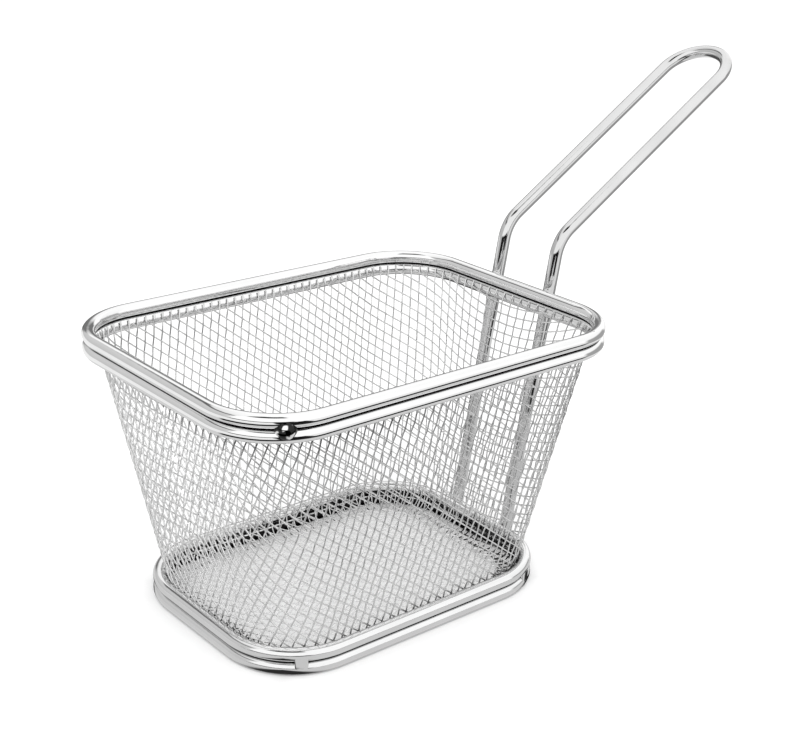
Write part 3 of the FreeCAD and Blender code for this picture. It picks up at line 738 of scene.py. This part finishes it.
def floor_stage():
    """A white floor with the basket's soft shadow, deepened under the basket by painted shadow. Polished wire
    sees it in other shades.
    """
    bm = bmesh.new()
    bmesh.ops.create_grid(bm, x_segments=1, y_segments=1, size=3)
    floor = mesh_piece("floor", bm)
    material, tree, shader = new_material("white_floor", metallic=0.0)
    tree.give(shader.inputs["Base Color"], FLOOR_WHITE)
    tree.give(shader.inputs["Roughness"], FLOOR_ROUGHNESS)
    tree.give(shader.inputs["Specular IOR Level"], FLOOR_SPECULAR)
    x, y, _ = tree.axes(tree.place["Object"])
    past_x = tree.number("DIVIDE", tree.number("ABSOLUTE", x), BASE_LENGTH / 2)
    past_y = tree.number("DIVIDE", tree.number("ABSOLUTE", y), BASE_WIDTH / 2)
    past = tree.number("MAXIMUM", past_x, past_y)
    path = tree.node("LightPath").outputs
    lift = tree.node("Emission")
    # Painted shadow: less lift under the basket
    lift_strength = tree.blend(tree.ease(past, *BELOW_FADE), FLOOR_LIFT, UNDER_BASKET_SHADOW_LIFT)
    tree.give(lift.inputs["Strength"], tree.product(path["Is Camera Ray"], lift_strength))
    seen = tree.node("AddShader")
    tree.give(seen.inputs[0], shader.outputs["BSDF"])
    tree.give(seen.inputs[1], lift.outputs["Emission"])
    # Painted reflection: to glossy rays the floor glows in these painted shades instead of being lit
    mirrored = tree.node("Emission")
    tree.give(mirrored.inputs["Color"], mirrored_floor(tree, x, y, past))
    choice = tree.node("MixShader")
    tree.give(choice.inputs["Fac"], path["Is Glossy Ray"])
    tree.give(choice.inputs[1], seen.outputs["Shader"])
    tree.give(choice.inputs[2], mirrored.outputs["Emission"])
    tree.give(material.node_tree.nodes["Material Output"].inputs["Surface"], choice.outputs["Shader"])
    floor.data.materials.append(material)


def studio_world():
    """White for the camera. Polished wire sees a white tent, with darker sides."""
    world = bpy.data.worlds.new("studio")
    bpy.context.scene.world = world
    world.use_nodes = True
    tree = NodeTree(world.node_tree)
    x, y, height = tree.axes(tree.place["Generated"])
    mirrored = tree.shades(height, TENT)
    sides = (
        (LEFT_SIDE, LEFT_SPREAD, LEFT_SHADES),
        (RIGHT_SIDE, RIGHT_SPREAD, RIGHT_SHADES),
        (DARK_SIDE, DARK_SPREAD, DARK_SHADES),
        (BACK_SIDE, BACK_SPREAD, BACK_SHADES))
    for side, spread, stops in sides:
        share = tree.ease(tree.toward(x, y, side), *spread)
        mirrored = tree.blend(share, mirrored, tree.shades(height, stops))
    glossy = tree.node("LightPath").outputs["Is Glossy Ray"]
    background = world.node_tree.nodes["Background"]
    tree.give(background.inputs["Color"], tree.blend(glossy, 1.0, mirrored))
    background.inputs["Strength"].default_value = 1.0


def softbox(name, place, size, power):
    """A large soft lamp that faces the basket and isn't seen in its wires."""
    data = bpy.data.lights.new(name, "AREA")
    data.shape = "RECTANGLE"
    data.size, data.size_y = size
    data.energy = power
    lamp = bpy.data.objects.new(name, data)
    lamp.location = place
    lamp.rotation_euler = (Vector((0, 0, 50 * MM)) - Vector(place)).to_track_quat("-Z", "Y").to_euler()
    lamp.visible_glossy = False
    bpy.context.scene.collection.objects.link(lamp)


# Camera, worked out from the photograph's 800 pixel wide frame
CAMERA_AZIMUTH = math.radians(-40.01)
CAMERA_ELEVATION = math.radians(21.33)
CAMERA_ROLL = math.radians(1.57)
CAMERA_DISTANCE = 450.83 * MM
CAMERA_AIM = Vector((0, 0, 41.03 * MM))
CAMERA_SLIDE = (16.25 * MM, 25.37 * MM)
FOCAL_PIXELS = 1483.77
FRAME_PIXELS = 800
SENSOR_WIDTH = 36


def photo_camera():
    """The camera, turned about the basket and slid in its own picture plane."""
    sin_a, cos_a = math.sin(CAMERA_AZIMUTH), math.cos(CAMERA_AZIMUTH)
    sin_e, cos_e = math.sin(CAMERA_ELEVATION), math.cos(CAMERA_ELEVATION)
    sin_r, cos_r = math.sin(CAMERA_ROLL), math.cos(CAMERA_ROLL)
    back = Vector((sin_a * cos_e, -cos_a * cos_e, sin_e))
    level = Vector((cos_a, sin_a, 0))
    upright = back.cross(level)
    right = level * cos_r + upright * sin_r
    up = upright * cos_r - level * sin_r
    data = bpy.data.cameras.new("camera")
    data.sensor_width = SENSOR_WIDTH
    data.lens = FOCAL_PIXELS * SENSOR_WIDTH / FRAME_PIXELS
    camera = bpy.data.objects.new("camera", data)
    place = CAMERA_AIM + right * CAMERA_SLIDE[0] + up * CAMERA_SLIDE[1] + back * CAMERA_DISTANCE
    turn = Matrix((right, up, back)).transposed().to_4x4()
    camera.matrix_world = Matrix.Translation(place) @ turn
    bpy.context.scene.collection.objects.link(camera)
    bpy.context.scene.camera = camera


# Finishes: shades and roughness from patch to patch, and for cloth the painted shades at its foot and under
# the rim
# Tints differ between pieces of the same steel as painted light and shade, by piece, wall half and wire
# family
rim_steel = steel_wire("polished_wire", (0.80, 0.90), (0.02, 0.06))
# The base rings get painted shade on the sides that face the middle of the basket
upper_base_steel = steel_wire("upper_base_wire", (0.74, 0.84), (0.06, 0.12), inner_shadow=(0.03, -0.10))
lower_base_steel = steel_wire("lower_base_wire", (0.74, 0.84), (0.06, 0.12), inner_shadow=(0.02, 0.70))
handle_steel = steel_wire("handle_wire", (0.60, 0.74), (0.04, 0.10))
weld_steel = weld_metal()
near_steep = cloth_wire("near_steep_wire", (0.66, 0.84), foot_shade=0.06, rim_shade=0.25)
near_sloping = cloth_wire("near_sloping_wire", (0.80, 0.92), foot_shade=0.25, rim_shade=0.80)
far_steep = cloth_wire("far_steep_wire", (0.72, 0.86), foot_shade=0.95, rim_shade=0.60)
far_sloping = cloth_wire("far_sloping_wire", (0.72, 0.86), foot_shade=0.95)
floor_cloth = cloth_wire("floor_cloth_wire", (0.88, 0.96))

# Basket
wire_ring("upper_rim_wire", "upper_rim_ring", RIM, RIM_HIGH, rim_steel)
wire_ring("lower_rim_wire", "lower_rim_ring", RIM, RIM_LOW, rim_steel)
wire_ring("upper_base_wire", "upper_base_ring", BASE, BASE_HIGH, upper_base_steel)
wire_ring("lower_base_wire", "lower_base_ring", BASE, BASE_LOW, lower_base_steel)
round_bead(weld_steel)
for name, turn in zip(("front_base_weld", "right_base_weld"), BASE_BEAD_TURNS):
    flush_bead(name, math.radians(turn), upper_base_steel)
wire_handle(handle_steel)
woven_basket((far_steep, near_steep), (far_sloping, near_sloping), floor_cloth)

# Stage and camera
floor_stage()
studio_world()
softbox("overhead_softbox", (-0.2, -0.3, 1.1), (1.2, 1.2), 6)
photo_camera()
bpy.context.scene.view_settings.view_transform = "Standard"
